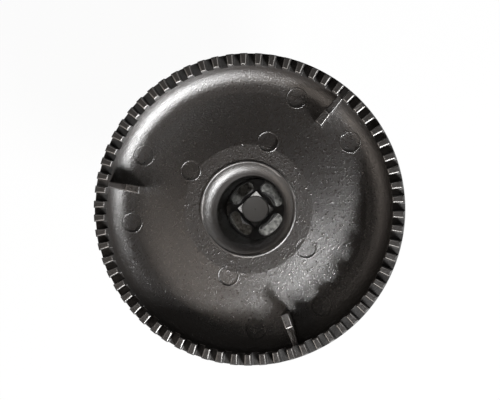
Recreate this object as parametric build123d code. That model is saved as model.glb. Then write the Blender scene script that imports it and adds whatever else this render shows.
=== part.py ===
"""Barbecue side burner head, seen in use with its loose cap lifted off.

One aluminium die casting makes the bowl, the toothed flame-port rim and the three
cap-centring ribs. A second one, the mixing tube, hangs by its lip in the bowl's collar
and ends in a four-spoke air spider and feet. A turned gas jet stands on the spider's
hub, and a jam nut under the hub holds it.

Frame: millimetres, +Z up along the burner's axis, origin on the surface that the
feet stand on. The air windows between the feet face along X and Y.
"""

import os
from math import cos, degrees, radians, sin, sqrt, tan

from build123d import *

# Rim and flame ports
rim_diameter = 101.4
height = 50.0
rim_width = 4.3
rim_band = 5.2
rim_draft = 8.0
rim_undercut = 1.0
port_pairs = 33
main_port_width = 2.6
main_port_depth = 3.6
small_port_width = 2.2
small_port_depth = 2.4
port_shoulder = 0.45
port_root = 0.4
rim_edge = 0.4

# Bowl
skin = 2.6
wall_straight = 3.6
cove_radius = 5.8
trough_width = 2.0
dome_angle = 11.0
land_diameter = 42.2
collar_wall = 2.6
collar_length = 8.0
root_fillet = 3.5

# Mixing tube and its bell mouth
mouth_radius = 3.4
throat_diameter = 23.2
throat_taper = 0.7
tube_wall = 2.6
lip_width = 0.9
lip_crown = 0.4
lip_recess = 1.2
tube_clearance = 0.05
tube_neck_step = 0.3

# Air spider and feet
foot_height = 14.0
spider_thickness = 4.0
spider_corner = 0.6
kidney_width = 4.0
kidney_margin = 0.8
spoke_width = 2.7
window_width = 12.6
window_margin = 1.2
window_corner = 3.0
spoke_count = 4

# Cap-centring ribs
rib_count = 3
rib_phase = 7.2
rib_reach = 4.9
rib_block_length = 4.8
rib_thickness = 2.7
rib_rim_thickness = 2.0
rib_root = 0.6
rib_edge = 0.4
rib_block_drop = 1.8
rib_seat_drop = 3.3

# Ejector-pin marks of the casting die
mark_diameter = 6.5
mark_depth = 0.35
inner_mark_radius = 22.9
inner_mark_half_angle = 36.5
outer_mark_radius = 39.7
outer_mark_half_angle = 16.7

# Gas jet and its jam nut
jet_thread = 8.0
hub_clearance = 0.1
jet_square = 9.6
jet_square_height = 2.0
jet_nose_diameter = 9.5
jet_nose_height = 1.0
jet_chamfer = 0.3
jet_orifice = 0.5
jet_gas_bore = 4.0
jet_floor = 5.0
jet_inlet_diameter = 7.0
jet_inlet_gap = 0.5
jet_foot_clearance = 1.5
nut_across_flats = 13.0
nut_thickness = 4.0
nut_chamfer = 0.5

# Levels and radii that follow from the sizes above
over = 1.0
rim_radius = rim_diameter / 2
rim_inner = rim_radius - rim_width
tooth_radius = rim_radius - rim_band * tan(radians(rim_draft))
land_radius = land_diameter / 2
throat_radius = throat_diameter / 2
throat_foot_radius = throat_radius - throat_taper
tube_radius = throat_radius + tube_wall
cove_centre_r = rim_inner - cove_radius
cove_centre_z = height - wall_straight
trough_z = cove_centre_z - cove_radius
dome_radius = cove_centre_r - trough_width
land_z = trough_z + (dome_radius - land_radius) * tan(radians(dome_angle))
mouth_top_radius = throat_radius + mouth_radius
lip_radius = mouth_top_radius + lip_width
lip_seat_z = land_z - lip_recess
wall_middle_z = height - wall_straight / 2
neck_radius = tube_radius + tube_neck_step
socket_radius = neck_radius + tube_clearance
collar_radius = socket_radius + collar_wall
belly_z = trough_z - skin
collar_top_z = belly_z + (dome_radius - collar_radius) * tan(radians(dome_angle))
collar_z = collar_top_z - collar_length
spider_top = foot_height + spider_thickness
kidney_radius = throat_foot_radius - kidney_margin - kidney_width / 2
rib_inner_radius = cove_centre_r - rib_reach
rib_angles = [rib_phase + i * 360 / rib_count for i in range(rib_count)]
kidney_angles = [i * 360 / spoke_count for i in range(spoke_count)]


def around(angle):
    """A turn about the burner's axis, in degrees."""
    return Rot(0, 0, angle)


def arc_middle(centre_r, centre_z, radius, angle):
    """The point of a section's arc at an angle from the outward horizontal, in degrees."""
    return (centre_r + radius * cos(radians(angle)), centre_z + radius * sin(radians(angle)))


def bowl_inside():
    """The bowl's inside from the rim's top edge down to the lip's recess, as section edges."""
    cove_middle = arc_middle(cove_centre_r, cove_centre_z, cove_radius, -45)
    return [
        Line((rim_inner, wall_middle_z), (rim_inner, cove_centre_z)),
        ThreePointArc((rim_inner, cove_centre_z), cove_middle, (cove_centre_r, trough_z)),
        Polyline(
            (cove_centre_r, trough_z),
            (dome_radius, trough_z),
            (land_radius, land_z),
            (lip_radius + tube_clearance, land_z),
        ),
    ]


def bowl_outside():
    """The bowl's outside from the lip's recess by the collar up to the rim, as section edges."""
    recess_r = lip_radius + tube_clearance
    outer_radius = cove_radius + skin
    shoulder_z = height - rim_band - rim_undercut
    shoulder_r = cove_centre_r + sqrt(outer_radius**2 - (cove_centre_z - shoulder_z) ** 2)
    middle = arc_middle(cove_centre_r, cove_centre_z, outer_radius, -45)
    return [
        Polyline(
            (recess_r, land_z),
            (recess_r, lip_seat_z),
            (socket_radius, lip_seat_z),
            (socket_radius, collar_z),
            (collar_radius, collar_z),
        ),
        FilletPolyline(
            (collar_radius, collar_z),
            (collar_radius, collar_top_z),
            (dome_radius, belly_z),
            radius=root_fillet,
        ),
        Line((dome_radius, belly_z), (cove_centre_r, belly_z)),
        ThreePointArc((cove_centre_r, belly_z), middle, (shoulder_r, shoulder_z)),
        FilletPolyline(
            (shoulder_r, shoulder_z),
            (rim_radius, height - rim_band),
            (tooth_radius, height),
            (rim_inner, height),
            (rim_inner, wall_middle_z),
            radius=rim_edge,
        ),
    ]


def tube_section():
    """The mixing tube's section, with the spider's plate across the throat, as section edges."""
    mouth_z = land_z - mouth_radius
    mouth_middle = arc_middle(mouth_top_radius, mouth_z, mouth_radius, 135)
    crown = (mouth_top_radius + lip_width / 2, land_z + lip_crown)
    return [
        ThreePointArc((lip_radius, land_z), crown, (mouth_top_radius, land_z)),
        ThreePointArc((mouth_top_radius, land_z), mouth_middle, (throat_radius, mouth_z)),
        FilletPolyline(
            (throat_radius, mouth_z),
            (throat_foot_radius, spider_top),
            (0, spider_top),
            radius=spider_corner,
        ),
        Polyline(
            (0, spider_top),
            (0, foot_height),
            (throat_foot_radius, foot_height),
            (throat_foot_radius, 0),
            (tube_radius, 0),
            (tube_radius, collar_z),
            (neck_radius, collar_z),
            (neck_radius, lip_seat_z),
            (lip_radius, lip_seat_z),
            (lip_radius, land_z),
        ),
    ]


def spun(edges):
    """A solid of revolution about Z from a closed section drawn in radius and height."""
    return revolve(Plane.XZ * make_face(edges), Axis.Z)


def bowl_space():
    """The room inside the bowl above its floor and land."""
    lid = Polyline(
        (lip_radius + tube_clearance, land_z),
        (0, land_z),
        (0, height + over),
        (rim_inner, height + over),
        (rim_inner, wall_middle_z),
    )
    return spun(bowl_inside() + [lid])


def port_half(width, depth):
    """Half of a port's outline, from the middle of its floor by rounded corners to above the tooth."""
    wall = width / 2
    root = arc_middle(wall - port_root, port_root - depth, port_root, -45)
    shoulder = arc_middle(wall + port_shoulder, -port_shoulder, port_shoulder, 135)
    return [
        Line((0, -depth), (wall - port_root, -depth)),
        ThreePointArc((wall - port_root, -depth), root, (wall, port_root - depth)),
        Line((wall, port_root - depth), (wall, -port_shoulder)),
        ThreePointArc((wall, -port_shoulder), shoulder, (wall + port_shoulder, 0)),
        Polyline((wall + port_shoulder, 0), (wall + port_shoulder, over), (0, over)),
    ]


def port(width, depth):
    """One flame-port slot across the rim along X, open at the top, as the shape to cut away."""
    half = port_half(width, depth)
    outline = make_face(half + [edge.mirror(Plane.YZ) for edge in half])
    blank = extrude(Plane.YZ * outline, amount=rim_width + 2 * over)
    return Pos(rim_inner - over, 0, height) * blank


def ports():
    """Deep main ports and shallow cross-lighting ports in turn, with a shallow one at each rib."""
    pitch = 360 / port_pairs
    turns = [rib_phase + i * pitch for i in range(port_pairs)]
    small = port(small_port_width, small_port_depth)
    main = port(main_port_width, main_port_depth)
    return [around(turn) * small for turn in turns] + [around(turn + pitch / 2) * main for turn in turns]


def rib_wall(side):
    """A wall along X with the given side view, thinner towards the rim."""
    root_r = cove_centre_r + cove_radius + rib_root
    plan = make_face(
        Polyline(
            (rib_inner_radius, -rib_thickness / 2),
            (root_r, -rib_rim_thickness / 2),
            (root_r, rib_rim_thickness / 2),
            (rib_inner_radius, rib_thickness / 2),
            close=True,
        )
    )
    return extrude(Plane.XZ * make_face(side), amount=rib_thickness, both=True) & extrude(plan, amount=height)


def rib():
    """A radial rib along X from the floor to the rim: a raised block inside, a low seat by the rim."""
    root_radius = cove_radius + rib_root
    root_z = trough_z - rib_root
    root_r = cove_centre_r + root_radius
    block_end = rib_inner_radius + rib_block_length
    seat_start = rib_inner_radius + rib_block_length / 2
    seat_z = height - rib_seat_drop
    foot_z = root_z + (dome_radius - rib_inner_radius) * tan(radians(dome_angle))
    top = height - rib_block_drop
    block = rib_wall(
        Polyline(
            (block_end, root_z),
            (dome_radius, root_z),
            (rib_inner_radius, foot_z),
            (rib_inner_radius, top),
            (block_end, top),
            close=True,
        )
    )
    block = fillet(block.edges().filter_by(lambda edge: edge.center().Z > height - cove_radius), rib_edge)
    middle = arc_middle(cove_centre_r, cove_centre_z, root_radius, -45)
    seat = rib_wall(
        [
            Polyline(
                (cove_centre_r, root_z),
                (seat_start, root_z),
                (seat_start, seat_z),
                (root_r, seat_z),
                (root_r, cove_centre_z),
            ),
            ThreePointArc((root_r, cove_centre_z), middle, (cove_centre_r, root_z)),
        ]
    )
    long_edges = seat.edges().group_by(Axis.Z)[-1].filter_by(lambda edge: edge.length > rib_thickness)
    return block + fillet(long_edges, rib_edge)


def ejector_marks():
    """Shallow round recesses that follow the bowl's surface, where the die's pins pushed."""
    pin = Cylinder(mark_diameter / 2, height, align=(Align.CENTER, Align.CENTER, Align.MIN))
    inner = [
        around(rib_angles[-1] + side + half) * Pos(inner_mark_radius, 0, 0) * pin
        for side in (0, 180)
        for half in (-inner_mark_half_angle, inner_mark_half_angle)
    ]
    outer = [
        around(angle + half) * Pos(outer_mark_radius, 0, 0) * pin
        for angle in rib_angles
        for half in (-outer_mark_half_angle, outer_mark_half_angle)
    ]
    lowered = Pos(0, 0, -mark_depth) * bowl_space()
    return [mark & lowered for mark in inner + outer]


def kidney(angle):
    """One curved air passage through the spider, between two spokes."""
    pitch_length = radians(360 / spoke_count) * kidney_radius
    sweep = degrees((pitch_length - spoke_width - kidney_width) / kidney_radius)
    line = CenterArc((0, 0), kidney_radius, angle - sweep / 2, sweep)
    return Pos(0, 0, foot_height - over) * extrude(
        SlotArc(line, kidney_width), amount=spider_thickness + 2 * over
    )


def window(angle):
    """One air window between two feet, open at the bottom, with rounded upper corners."""
    top = foot_height - window_margin
    opening = Pos(0, top / 2) * Rectangle(window_width, top)
    opening = fillet(opening.vertices().group_by(Axis.Y)[-1], window_corner)
    return around(angle) * extrude(Plane.YZ * opening, amount=tube_radius + over)


def burner_head():
    """The bowl's casting, with its flame ports, ribs and ejector marks."""
    casting = spun(bowl_inside() + bowl_outside())
    casting -= ports()
    casting += [around(angle) * rib() for angle in rib_angles]
    return casting - ejector_marks()


def mixing_tube():
    """The tube's casting: bell mouth, throat, air spider and feet."""
    casting = spun(tube_section())
    casting -= [kidney(angle) for angle in kidney_angles]
    casting -= [window(angle) for angle in kidney_angles]
    hub_bore = Cylinder(jet_thread / 2 + hub_clearance, spider_thickness + 2 * over)
    return casting - Pos(0, 0, foot_height + spider_thickness / 2) * hub_bore


def gas_jet():
    """The turned jet: plain inlet end, threaded shank, square for the spanner and round nose."""
    base = (Align.CENTER, Align.CENTER, Align.MIN)
    shank_z = foot_height - nut_thickness - jet_inlet_gap
    nose_z = spider_top + jet_square_height
    inlet = Cylinder(jet_inlet_diameter / 2, shank_z - jet_foot_clearance, align=base)
    inlet = chamfer(inlet.edges().group_by(Axis.Z)[0], jet_chamfer)
    square = extrude(Rectangle(jet_square, jet_square), amount=jet_square_height)
    square = chamfer(square.edges().group_by(Axis.Z)[-1], jet_chamfer)
    nose = Cylinder(jet_nose_diameter / 2, jet_nose_height, align=base)
    nose = chamfer(nose.edges().group_by(Axis.Z)[-1], jet_chamfer)
    jet = Pos(0, 0, jet_foot_clearance) * inlet
    jet += Pos(0, 0, shank_z) * Cylinder(jet_thread / 2, spider_top - shank_z, align=base)
    jet += Pos(0, 0, spider_top) * square
    jet += Pos(0, 0, nose_z) * nose
    jet -= Cylinder(jet_orifice / 2, 2 * height)
    bore_top = nose_z + jet_nose_height - jet_floor
    return jet - Cylinder(jet_gas_bore / 2, bore_top, align=base)


def jam_nut():
    """The thin hexagon nut that clamps the jet to the hub from below."""
    blank = extrude(RegularPolygon(nut_across_flats / 2, 6, major_radius=False), amount=nut_thickness)
    blank = chamfer(blank.edges().group_by(Axis.Z)[0], nut_chamfer)
    bore = Cylinder(jet_thread / 2, 3 * nut_thickness)
    return Pos(0, 0, foot_height - nut_thickness) * (blank - bore)


def main():
    os.makedirs("parts", exist_ok=True)
    for make in (burner_head, mixing_tube, gas_jet, jam_nut):
        export_step(make(), f"parts/{make.__name__}.step")


main()
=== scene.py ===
"""The barbecue side burner's looks: materials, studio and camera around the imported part."""

import math

import bpy
import numpy as np
from mathutils import Matrix, Vector
from mathutils.bvhtree import BVHTree


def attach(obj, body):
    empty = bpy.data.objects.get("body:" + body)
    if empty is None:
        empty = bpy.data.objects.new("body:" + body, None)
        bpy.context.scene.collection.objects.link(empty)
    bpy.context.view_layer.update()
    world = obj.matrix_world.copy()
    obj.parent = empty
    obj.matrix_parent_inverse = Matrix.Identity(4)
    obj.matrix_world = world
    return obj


# The view, as read from the photograph: pixels, metres and angles
FRAME_WIDTH_PX = 500
FRAME_HEIGHT_PX = 400
SENSOR_WIDTH_MM = 36.0
RIM_CENTRE_PX = (245.6, 209.0)
RIM_RADIUS_PX = 156.5
CAMERA_DISTANCE = 0.265
CAMERA_TILT = math.radians(6.8)
CAMERA_NEAR_CLIP = 0.01
PHOTO_TURN = math.radians(-42.7)

# The lamps and the dim light all round: angles in the photograph, metres and watts
KEY_AZIMUTH = math.radians(-52.0)
KEY_ELEVATION = math.radians(24.0)
KEY_DISTANCE = 0.8
KEY_WIDTH = 0.3
KEY_HEIGHT = 0.07
KEY_POWER = 15.5
KEY_COLOUR = (1.0, 1.0, 1.0)
FILL_AZIMUTH = math.radians(-138.0)
FILL_ELEVATION = math.radians(33.0)
FILL_DISTANCE = 0.9
FILL_WIDTH = 1.2
FILL_HEIGHT = 0.3
FILL_POWER = 2.1
FILL_COLOUR = (1.0, 0.88, 0.78)
TOP_AZIMUTH = math.radians(180.0)
TOP_ELEVATION = math.radians(83.2)
TOP_DISTANCE = 0.5
TOP_SIZE = 0.07
TOP_POWER = 0.011
WORLD_COLOUR = (1.0, 0.9, 0.83)
WORLD_STRENGTH = 0.037

# The floor, with a spot of painted shade below the throat
FLOOR_SIZE = 40.0
FLOOR_WHITE = 0.96
FLOOR_COLOUR = (0.9, 0.9, 0.9)
FLOOR_ROUGHNESS = 0.9
# Painted shade: the floor under the burner is painted darker, mottled by a noise
UNDER_SHADE_DARK = (0.03, 0.03, 0.029)
UNDER_SHADE_PALE = (0.25, 0.25, 0.235)
UNDER_SHADE_RADIUS = (0.0135, 0.0145)
MOTTLE_SCALE = 700.0

# Noises: cells in a metre, levels of detail, depths in metres and the usual span of their values
GRAIN_SCALE = 1700.0
PATCH_SCALE = 220.0
PIT_SCALE = 4000.0
SKIN_SCALE = 1700.0
FINE_DETAIL = 3.0
PATCH_DETAIL = 4.0
SKIN_DETAIL = 2.0
PIT_DEPTH = 0.00014
SKIN_DEPTH = 0.00024
NOISE_SPAN = (0.3, 0.7)

# The dark coat, which changes with the distance from the axis
COAT_COLOUR = (0.014, 0.0112, 0.0096)
COAT_IOR = 2.5
COAT_ROUGHNESS = 0.33
LAND_ROUGHNESS = 0.34
TUBE_ROUGHNESS = 0.44
COVE_ROUGHNESS = 0.39
RIM_ROUGHNESS = 0.38
LAND_RADIUS = (0.0209, 0.0213)
COVE_RADIUS = (0.041, 0.0445)
RIM_RING = (0.0455, 0.0462)
SPECKLE_DARK = 0.35
SPECKLE_PALE = 1.75
GLOSS_SPREAD = 0.1
RIM_PITTING = 0.6
FLOOR_SKIN = 0.55
LAND_SKIN = 0.8
TUBE_SKIN = 0.1

# Edges rubbed to bare metal
WORN_COLOUR = (0.68, 0.655, 0.63)
WORN_ROUGHNESS = 0.52
WORN_SHARE = (0.6, 1.0)
WORN_REACH = 0.0495
JOIN_DISTANCE = 1e-6
SMALLEST_LENGTH = 1e-20
ROUND_STEP = (math.radians(13.0), math.radians(19.0))
CREASE_STEP = math.radians(40.0)

# Painted shade in the flame ports and on the rim's outer edge
# Painted shade: the ports and the rim's outer edge are painted nearly black where the teeth shade each other
PORT_SHADE_COLOUR = (0.013, 0.0115, 0.0105)
PORT_SHADE_ROUGHNESS = 0.8
PORT_SHADE_SHARE = (0.45, 0.85)
PORT_SHADE_RADIUS = (0.0463, 0.0467)
PORT_SHADE_TOP = (0.0489, 0.0494)
PORT_SHADE_BOTTOM = (0.0455, 0.0462)
PORT_SHADE_EDGE = (0.0494, 0.0497)
PORT_SHADE_RIB_GAP = (math.radians(1.4), math.radians(1.8))

# Plated metals
NICKEL_COLOUR = (0.85, 0.84, 0.82)
NICKEL_ROUGHNESS = 0.45
SQUARE_ROUGHNESS = 0.15
NOSE_Z = 0.0201
# Painted shade on the spanner square: darker towards the lower right of the view, with uneven tarnish from a
# noise
SQUARE_SHADE_AZIMUTH = math.radians(-60.0)
SQUARE_SHADE_REACH = 0.005
SQUARE_SHADE_LEAN = 0.6
SQUARE_SHADE_AND_TARNISH_DARK = 0.3
ZINC_COLOUR = (0.6, 0.6, 0.6)
ZINC_ROUGHNESS = 0.3
ZINC_DARK = 0.8
ZINC_SPREAD = 0.05
METAL_DEPTH = 0.00001

# The casting's features that the scene adds to
RIM_RADIUS = 0.05
RIM_HEIGHT = 0.05
RIB_COUNT = 3
RIB_PHASE_DEGREES = 7.2
RIB_ANGLES = [math.radians(RIB_PHASE_DEGREES + 360.0 * i / RIB_COUNT) for i in range(RIB_COUNT)]
INNER_MARK_RADIUS = 0.0229
INNER_MARK_HALF_ANGLE = math.radians(36.5)
OUTER_MARK_RADIUS = 0.0397
OUTER_MARK_HALF_ANGLE = math.radians(16.7)
MARK_RADIUS = 0.00325
BURR_RADIUS = 0.00024
BURR_SINK = 0.00013
BURR_OUTSET = 0.0001
BURR_TURNS = 72
BURR_SIDES = 8


def photo_direction(azimuth, elevation):
    """A unit vector from an angle in the photograph's plane and a height above it."""
    flat = math.cos(elevation)
    turned = azimuth + PHOTO_TURN
    return Vector((flat * math.cos(turned), flat * math.sin(turned), math.sin(elevation)))


def look_along(position, target, up):
    """A camera or lamp matrix at position, facing target, with up towards the image's top."""
    back = (position - target).normalized()
    right = up.cross(back).normalized()
    top = back.cross(right)
    turn = Matrix((right, top, back)).transposed().to_4x4()
    return Matrix.Translation(position) @ turn


def add_camera():
    """The photograph's camera: nearly straight down, tilted a little to the right."""
    right = photo_direction(0.0, 0.0)
    up = photo_direction(math.pi / 2, 0.0)
    rim_centre = Vector((0.0, 0.0, RIM_HEIGHT))
    position = rim_centre + CAMERA_DISTANCE * (
        math.cos(CAMERA_TILT) * Vector((0.0, 0.0, 1.0)) + math.sin(CAMERA_TILT) * right
    )
    metres_per_px = RIM_RADIUS / RIM_RADIUS_PX
    target = rim_centre
    target = target + right * (FRAME_WIDTH_PX / 2 - RIM_CENTRE_PX[0]) * metres_per_px
    target = target + up * (RIM_CENTRE_PX[1] - FRAME_HEIGHT_PX / 2) * metres_per_px
    data = bpy.data.cameras.new("photo_camera")
    data.sensor_width = SENSOR_WIDTH_MM
    data.lens = CAMERA_DISTANCE / metres_per_px * SENSOR_WIDTH_MM / FRAME_WIDTH_PX
    data.clip_start = CAMERA_NEAR_CLIP
    camera = bpy.data.objects.new("photo_camera", data)
    bpy.context.scene.collection.objects.link(camera)
    camera.matrix_world = look_along(position, target, up)
    bpy.context.scene.camera = camera


def add_lamp(name, azimuth, elevation, distance, width, height, power, colour):
    """An oval soft lamp that faces the burner from a direction in the photograph."""
    data = bpy.data.lights.new(name, "AREA")
    data.shape = "ELLIPSE"
    data.size = width
    data.size_y = height
    data.energy = power
    data.color = colour
    lamp = bpy.data.objects.new(name, data)
    bpy.context.scene.collection.objects.link(lamp)
    target = Vector((0.0, 0.0, RIM_HEIGHT))
    position = target + distance * photo_direction(azimuth, elevation)
    lamp.matrix_world = look_along(position, target, Vector((0.0, 0.0, 1.0)))


def add_world():
    """Dim, slightly warm light from all round."""
    world = bpy.data.worlds.new("studio")
    bpy.context.scene.world = world
    world.use_nodes = True
    background = world.node_tree.nodes["Background"]
    background.inputs["Color"].default_value = (*WORLD_COLOUR, 1.0)
    background.inputs["Strength"].default_value = WORLD_STRENGTH


def new_material(name):
    """A new material, with its node tree and its surface shader."""
    material = bpy.data.materials.new(name)
    material.use_nodes = True
    tree = material.node_tree
    return material, tree, tree.nodes["Principled BSDF"]


def feed(tree, socket, value):
    """Gives a socket a number, a colour or another node's output."""
    if isinstance(value, bpy.types.NodeSocket):
        tree.links.new(value, socket)
    elif isinstance(value, tuple):
        socket.default_value = (*value, 1.0)
    else:
        socket.default_value = value


def calculate(tree, operation, first, second):
    """The node that puts two values together, each a constant or another node's output."""
    result = tree.nodes.new("ShaderNodeMath")
    result.operation = operation
    feed(tree, result.inputs[0], first)
    feed(tree, result.inputs[1], second)
    return result


def combine(tree, operation, first, second):
    """Two values put together by a sum, a product or the larger one, kept between 0 and 1."""
    result = calculate(tree, operation, first, second)
    result.use_clamp = True
    return result.outputs["Value"]


def step(tree, value, span, low, high):
    """A value that changes from low to high as another crosses a span."""
    ramp = tree.nodes.new("ShaderNodeMapRange")
    ramp.inputs["From Min"].default_value = span[0]
    ramp.inputs["From Max"].default_value = span[1]
    ramp.inputs["To Min"].default_value = low
    ramp.inputs["To Max"].default_value = high
    tree.links.new(value, ramp.inputs["Value"])
    return ramp.outputs["Result"]


def between(tree, noise, low, high):
    """A value that goes from low to high as a noise goes across its usual span."""
    return step(tree, noise, NOISE_SPAN, low, high)


def mix(tree, kind, factor, first, second):
    """A colour or a value between two, each a constant or another node's output."""
    node = tree.nodes.new("ShaderNodeMix")
    node.data_type = kind
    feed(tree, node.inputs["Factor"], factor)
    feed(tree, node.inputs["A"], first)
    feed(tree, node.inputs["B"], second)
    return node.outputs["Result"]


def mix_colours(tree, factor, first, second):
    """A colour between two."""
    return mix(tree, "RGBA", factor, first, second)


def mix_values(tree, factor, first, second):
    """A number between two."""
    return mix(tree, "FLOAT", factor, first, second)


def shaded(colour, share):
    """A colour made darker or paler by a share."""
    return tuple(channel * share for channel in colour)


def place(tree):
    """The point on the surface, in the piece's own coordinates."""
    return tree.nodes.new("ShaderNodeTexCoord").outputs["Object"]


def place_axes(tree):
    """The node that holds that point's X, Y and Z apart."""
    split = tree.nodes.new("ShaderNodeSeparateXYZ")
    tree.links.new(place(tree), split.inputs["Vector"])
    return split


def stand_height(tree):
    """The height above the surface that the burner stands on."""
    return place_axes(tree).outputs["Z"]


def axis_distance(tree):
    """The distance from the burner's axis."""
    flat = tree.nodes.new("ShaderNodeVectorMath")
    flat.operation = "MULTIPLY"
    flat.inputs[1].default_value = (1.0, 1.0, 0.0)
    tree.links.new(place(tree), flat.inputs[0])
    distance = tree.nodes.new("ShaderNodeVectorMath")
    distance.operation = "LENGTH"
    tree.links.new(flat.outputs["Vector"], distance.inputs[0])
    return distance.outputs["Value"]


def rib_distance(tree):
    """The angle to the nearest rib."""
    split = place_axes(tree)
    turn = calculate(tree, "ARCTAN2", split.outputs["Y"], split.outputs["X"])
    shifted = calculate(tree, "SUBTRACT", turn.outputs["Value"], RIB_ANGLES[0])
    nearest = calculate(tree, "PINGPONG", shifted.outputs["Value"], math.pi / RIB_COUNT)
    return nearest.outputs["Value"]


def grain(tree, scale, detail):
    """A noise over the piece's own coordinates, for a cast surface."""
    noise = tree.nodes.new("ShaderNodeTexNoise")
    noise.inputs["Scale"].default_value = scale
    noise.inputs["Detail"].default_value = detail
    tree.links.new(place(tree), noise.inputs["Vector"])
    return noise.outputs["Fac"]


def add_bump(tree, target, relief, depth):
    """Raises a surface, or the bump before it, by a noise to a depth in metres, and gives the bump's node."""
    bump = tree.nodes.new("ShaderNodeBump")
    bump.inputs["Strength"].default_value = 1.0
    bump.inputs["Distance"].default_value = depth
    tree.links.new(relief, bump.inputs["Height"])
    tree.links.new(bump.outputs["Normal"], target.inputs["Normal"])
    return bump


def floor_material():
    """White to the camera and in reflections, with a mottled spot of painted shade in the middle."""
    material, tree, surface = new_material("floor_white")
    surface.inputs["Roughness"].default_value = FLOOR_ROUGHNESS
    distance = axis_distance(tree)
    unshaded = step(tree, distance, UNDER_SHADE_RADIUS, 0.0, 1.0)
    mottle = between(tree, grain(tree, MOTTLE_SCALE, FINE_DETAIL), 0.0, 1.0)
    # The darker, mottled spot below the throat is painted shade
    painted_shade = mix_colours(tree, mottle, UNDER_SHADE_DARK, UNDER_SHADE_PALE)
    tree.links.new(mix_colours(tree, unshaded, painted_shade, FLOOR_COLOUR), surface.inputs["Base Color"])
    glow = tree.nodes.new("ShaderNodeEmission")
    glow.inputs["Color"].default_value = (1.0, 1.0, 1.0, 1.0)
    glow.inputs["Strength"].default_value = 1.0
    rays = tree.nodes.new("ShaderNodeLightPath")
    mirrored = combine(tree, "MAXIMUM", rays.outputs["Is Glossy Ray"], rays.outputs["Is Transmission Ray"])
    seen = combine(tree, "MAXIMUM", rays.outputs["Is Camera Ray"], mirrored)
    whitened = step(tree, distance, UNDER_SHADE_RADIUS, 0.0, FLOOR_WHITE)
    shader = tree.nodes.new("ShaderNodeMixShader")
    tree.links.new(combine(tree, "MULTIPLY", seen, whitened), shader.inputs["Fac"])
    tree.links.new(surface.outputs["BSDF"], shader.inputs[1])
    tree.links.new(glow.outputs["Emission"], shader.inputs[2])
    tree.links.new(shader.outputs["Shader"], tree.nodes["Material Output"].inputs["Surface"])
    return material


def add_floor():
    """A plain pale floor, with a spot of painted shade inside the mixing tube's foot."""
    mesh = bpy.data.meshes.new("floor")
    half = FLOOR_SIZE / 2
    corners = [(-half, -half, 0.0), (half, -half, 0.0), (half, half, 0.0), (-half, half, 0.0)]
    mesh.from_pydata(corners, [], [(0, 1, 2, 3)])
    floor = bpy.data.objects.new("floor", mesh)
    bpy.context.scene.collection.objects.link(floor)
    mesh.materials.append(floor_material())


def port_shade(tree, patches):
    """The share of painted shade: uneven in the flame ports and on the rim's outer edge, and none elsewhere.
    """
    ring = step(tree, axis_distance(tree), PORT_SHADE_RADIUS, 0.0, 1.0)
    under = step(tree, stand_height(tree), PORT_SHADE_TOP, 1.0, 0.0)
    outer = step(tree, axis_distance(tree), PORT_SHADE_EDGE, 0.0, 1.0)
    over = step(tree, stand_height(tree), PORT_SHADE_BOTTOM, 0.0, 1.0)
    beside = step(tree, rib_distance(tree), PORT_SHADE_RIB_GAP, 0.0, 1.0)
    ports = combine(tree, "MULTIPLY", ring, combine(tree, "MAXIMUM", under, outer))
    ports = combine(tree, "MULTIPLY", combine(tree, "MULTIPLY", ports, over), beside)
    return combine(tree, "MULTIPLY", ports, between(tree, patches, *PORT_SHADE_SHARE))


def coated_material(name, inner_roughness, inner_skin):
    """Dark satin coating over a cast surface: speckled grain, ports darkened with painted shade, edges rubbed
    to bare metal.
    """
    material, tree, surface = new_material(name)
    surface.inputs["IOR"].default_value = COAT_IOR
    fine = grain(tree, GRAIN_SCALE, FINE_DETAIL)
    broad = grain(tree, PATCH_SCALE, PATCH_DETAIL)
    edge = tree.nodes.new("ShaderNodeAttribute")
    edge.attribute_name = "worn"
    rubbed = combine(tree, "MULTIPLY", edge.outputs["Fac"], between(tree, broad, *WORN_SHARE))
    # Painted shade darkens the flame ports and the rim's outer edge
    painted_shade = port_shade(tree, broad)
    dark = shaded(COAT_COLOUR, SPECKLE_DARK)
    pale = shaded(COAT_COLOUR, SPECKLE_PALE)
    speckle = mix_colours(tree, between(tree, fine, 0.0, 1.0), dark, pale)
    bare = mix_colours(tree, rubbed, speckle, WORN_COLOUR)
    tree.links.new(mix_colours(tree, painted_shade, bare, PORT_SHADE_COLOUR), surface.inputs["Base Color"])
    tree.links.new(combine(tree, "MAXIMUM", rubbed, painted_shade), surface.inputs["Metallic"])
    cove = step(tree, axis_distance(tree), COVE_RADIUS, 0.0, 1.0)
    rim = step(tree, axis_distance(tree), RIM_RING, 0.0, 1.0)
    satin = step(tree, axis_distance(tree), LAND_RADIUS, inner_roughness, COAT_ROUGHNESS)
    satin = mix_values(tree, cove, satin, COVE_ROUGHNESS)
    satin = mix_values(tree, rim, satin, RIM_ROUGHNESS)
    satin = combine(tree, "ADD", satin, between(tree, fine, GLOSS_SPREAD, -GLOSS_SPREAD))
    gloss = mix_values(tree, rubbed, satin, WORN_ROUGHNESS)
    tree.links.new(mix_values(tree, painted_shade, gloss, PORT_SHADE_ROUGHNESS), surface.inputs["Roughness"])
    pits = add_bump(tree, surface, grain(tree, PIT_SCALE, FINE_DETAIL), PIT_DEPTH)
    tree.links.new(mix_values(tree, rim, 1.0, RIM_PITTING), pits.inputs["Strength"])
    skin = add_bump(tree, pits, grain(tree, SKIN_SCALE, SKIN_DETAIL), SKIN_DEPTH)
    share = step(tree, axis_distance(tree), LAND_RADIUS, inner_skin, FLOOR_SKIN)
    tree.links.new(mix_values(tree, rim, share, 0.0), skin.inputs["Strength"])
    return material


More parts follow.
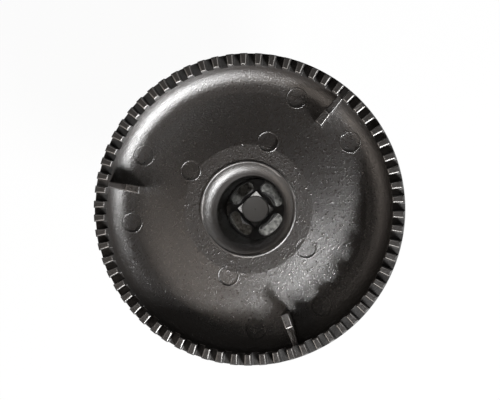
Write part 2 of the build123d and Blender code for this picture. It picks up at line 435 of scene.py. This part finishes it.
def nut_material():
    """Zinc plating with faint turning and handling marks."""
    material, tree, surface = new_material("zinc")
    surface.inputs["Metallic"].default_value = 1.0
    fine = grain(tree, GRAIN_SCALE, FINE_DETAIL)
    dark = shaded(ZINC_COLOUR, ZINC_DARK)
    colour = mix_colours(tree, between(tree, fine, 0.0, 1.0), dark, ZINC_COLOUR)
    tree.links.new(colour, surface.inputs["Base Color"])
    gloss = between(tree, fine, ZINC_ROUGHNESS - ZINC_SPREAD, ZINC_ROUGHNESS + ZINC_SPREAD)
    tree.links.new(gloss, surface.inputs["Roughness"])
    add_bump(tree, surface, fine, METAL_DEPTH)
    return material


def jet_material():
    """Nickel that is dull on the round nose, and bright on the spanner square below it, which has uneven
    tarnish and painted shade towards the lower right of the view.
    """
    material, tree, surface = new_material("dull_nickel")
    surface.inputs["Metallic"].default_value = 1.0
    along = tree.nodes.new("ShaderNodeVectorMath")
    along.operation = "DOT_PRODUCT"
    along.inputs[1].default_value = photo_direction(SQUARE_SHADE_AZIMUTH, 0.0)
    tree.links.new(place(tree), along.inputs[0])
    reach = (-SQUARE_SHADE_REACH, SQUARE_SHADE_REACH)
    # The lean towards the lower right is painted shade; the broad noise added to it is uneven tarnish
    lean = step(tree, along.outputs["Value"], reach, -SQUARE_SHADE_LEAN, SQUARE_SHADE_LEAN)
    broad = grain(tree, PATCH_SCALE, PATCH_DETAIL)
    shade_and_tarnish = combine(tree, "ADD", lean, between(tree, broad, 0.0, 1.0))
    nose = step(tree, stand_height(tree), (NOSE_Z - JOIN_DISTANCE, NOSE_Z), 0.0, 1.0)
    square = mix_colours(tree, shade_and_tarnish, NICKEL_COLOUR, shaded(NICKEL_COLOUR, SQUARE_SHADE_AND_TARNISH_DARK))
    tree.links.new(mix_colours(tree, nose, square, NICKEL_COLOUR), surface.inputs["Base Color"])
    dull = combine(tree, "MAXIMUM", shade_and_tarnish, nose)
    tree.links.new(mix_values(tree, dull, SQUARE_ROUGHNESS, NICKEL_ROUGHNESS), surface.inputs["Roughness"])
    add_bump(tree, surface, grain(tree, GRAIN_SCALE, FINE_DETAIL), METAL_DEPTH)
    return material


def mark_edges(node):
    """Gives each vertex a worn value, 1 on tightly rounded outside edges and 0 elsewhere."""
    mesh = node.data
    mesh.calc_loop_triangles()
    places = np.empty(len(mesh.vertices) * 3)
    mesh.vertices.foreach_get("co", places)
    places = places.reshape(-1, 3)
    triangles = np.empty(len(mesh.loop_triangles) * 3, dtype=np.int32)
    mesh.loop_triangles.foreach_get("vertices", triangles)
    triangles = triangles.reshape(-1, 3)
    joined_places, joined = np.unique(np.round(places / JOIN_DISTANCE), axis=0, return_inverse=True)
    joined = joined.reshape(-1)
    corners = places[triangles]
    normals = np.cross(corners[:, 1] - corners[:, 0], corners[:, 2] - corners[:, 0])
    normals /= np.maximum(np.linalg.norm(normals, axis=1, keepdims=True), SMALLEST_LENGTH)
    middles = corners.mean(axis=1)
    faces = joined[triangles]
    sides = np.concatenate([faces[:, [0, 1]], faces[:, [1, 2]], faces[:, [2, 0]]])
    sides.sort(axis=1)
    owners = np.tile(np.arange(len(faces)), 3)
    order = np.lexsort((sides[:, 1], sides[:, 0]))
    sides = sides[order]
    owners = owners[order]
    shared = np.flatnonzero((sides[1:] == sides[:-1]).all(axis=1))
    first = owners[shared]
    second = owners[shared + 1]
    turn = np.arccos(np.clip((normals[first] * normals[second]).sum(axis=1), -1.0, 1.0))
    outside = (normals[first] * (middles[second] - middles[first])).sum(axis=1) < 0.0
    within = np.hypot(middles[first][:, 0], middles[first][:, 1]) < WORN_REACH
    bend = np.clip((turn - ROUND_STEP[0]) / (ROUND_STEP[1] - ROUND_STEP[0]), 0.0, 1.0)
    bend = bend * outside * within * (turn < CREASE_STEP)
    worn = np.zeros(len(joined_places))
    np.maximum.at(worn, sides[shared][:, 0], bend)
    np.maximum.at(worn, sides[shared][:, 1], bend)
    layer = mesh.attributes.new("worn", "FLOAT", "POINT")
    layer.data.foreach_set("value", worn[joined].astype(np.float32))


def dress(node, material):
    """Gives a CAD node its material and marks where its edges wear."""
    node.data.materials.clear()
    node.data.materials.append(material)
    mark_edges(node)


def mark_places():
    """The centres of the ejector-pin marks, in the plan of the burner."""
    opposite = RIB_ANGLES[-1] + math.pi
    polar = [
        (INNER_MARK_RADIUS, middle + side * INNER_MARK_HALF_ANGLE)
        for middle in (RIB_ANGLES[-1], opposite)
        for side in (-1, 1)
    ]
    polar += [
        (OUTER_MARK_RADIUS, middle + side * OUTER_MARK_HALF_ANGLE)
        for middle in RIB_ANGLES
        for side in (-1, 1)
    ]
    return [(radius * math.cos(angle), radius * math.sin(angle)) for radius, angle in polar]


def add_burrs(head, material):
    """The fine raised burr that each ejector pin leaves round its mark, laid on the bowl's surface."""
    mesh = head.data
    surface = BVHTree.FromPolygons([v.co for v in mesh.vertices], [p.vertices for p in mesh.polygons])
    down = Vector((0.0, 0.0, -1.0))
    points = []
    faces = []
    path_radius = MARK_RADIUS + BURR_OUTSET
    for x, y in mark_places():
        start = len(points)
        for i in range(BURR_TURNS):
            turn = 2 * math.pi * i / BURR_TURNS
            out = Vector((math.cos(turn), math.sin(turn), 0.0))
            probe = Vector((x, y, 2 * RIM_HEIGHT)) + out * (path_radius + BURR_OUTSET)
            ground = surface.ray_cast(probe, down)[0]
            middle = Vector((x, y, ground.z - BURR_SINK)) + out * path_radius
            for k in range(BURR_SIDES):
                around = 2 * math.pi * k / BURR_SIDES
                points.append(middle + BURR_RADIUS * (math.cos(around) * out - math.sin(around) * down))
        for i in range(BURR_TURNS):
            here = start + i * BURR_SIDES
            ahead = start + (i + 1) % BURR_TURNS * BURR_SIDES
            for k in range(BURR_SIDES):
                side = (k + 1) % BURR_SIDES
                faces.append((here + k, ahead + k, ahead + side, here + side))
    burr_mesh = bpy.data.meshes.new("pin_burrs")
    burr_mesh.from_pydata(points, [], faces)
    burr_mesh.shade_smooth()
    burr_mesh.materials.append(material)
    burrs = bpy.data.objects.new("pin_burrs", burr_mesh)
    bpy.context.scene.collection.objects.link(burrs)
    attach(burrs, "root")


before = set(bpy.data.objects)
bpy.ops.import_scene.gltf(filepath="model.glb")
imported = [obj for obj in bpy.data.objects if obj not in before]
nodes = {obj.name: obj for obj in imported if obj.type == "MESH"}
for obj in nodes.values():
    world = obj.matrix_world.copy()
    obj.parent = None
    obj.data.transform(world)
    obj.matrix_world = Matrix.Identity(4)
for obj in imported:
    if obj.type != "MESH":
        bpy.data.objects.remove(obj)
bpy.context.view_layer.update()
bpy.context.scene.view_settings.view_transform = "Standard"
add_camera()
add_lamp(
    "key", KEY_AZIMUTH, KEY_ELEVATION, KEY_DISTANCE, KEY_WIDTH, KEY_HEIGHT, KEY_POWER, KEY_COLOUR
)
add_lamp(
    "fill", FILL_AZIMUTH, FILL_ELEVATION, FILL_DISTANCE, FILL_WIDTH, FILL_HEIGHT, FILL_POWER, FILL_COLOUR
)
add_lamp("top", TOP_AZIMUTH, TOP_ELEVATION, TOP_DISTANCE, TOP_SIZE, TOP_SIZE, TOP_POWER, KEY_COLOUR)
add_world()
add_floor()
cast_coat = coated_material("cast_coat", LAND_ROUGHNESS, LAND_SKIN)
tube_coat = coated_material("tube_coat", TUBE_ROUGHNESS, TUBE_SKIN)
dress(nodes["burner_head"], cast_coat)
dress(nodes["mixing_tube"], tube_coat)
dress(nodes["gas_jet"], jet_material())
dress(nodes["jam_nut"], nut_material())
add_burrs(nodes["burner_head"], cast_coat)
